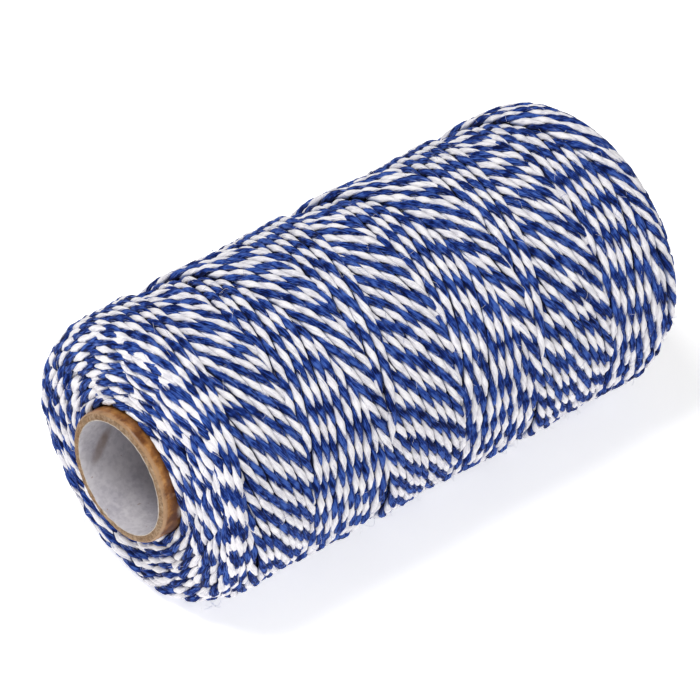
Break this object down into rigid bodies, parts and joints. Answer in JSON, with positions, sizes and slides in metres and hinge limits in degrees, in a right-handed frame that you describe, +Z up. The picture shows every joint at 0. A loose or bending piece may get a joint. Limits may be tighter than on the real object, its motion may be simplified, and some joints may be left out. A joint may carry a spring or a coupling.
{
  "type": "roll of cotton twine on a cardboard tube",
  "caption": "Plied cotton twine in blue and white, cross-wound into a cylinder with rounded shoulders on a plain cardboard tube, lying on its side and ready to unwind",
  "frame": {"origin": "on the surface that the roll rests on, under the middle of the tube", "axes": "+X along the tube's axis towards the far, fuller end; the near mouth faces -X; +Z up"},
  "size_m": [0.1154, 0.056, 0.0556],
  "materials": {
    "twine": "two-ply twisted cotton yarn, one blue ply and one white ply, matt and slightly fibrous",
    "cardboard": "spirally wound board, kraft brown outside and pale grey inside"
  },
  "bodies": {
    "root": {"winding": "twine", "tube": "cardboard"}
  },
  "joints": []
}
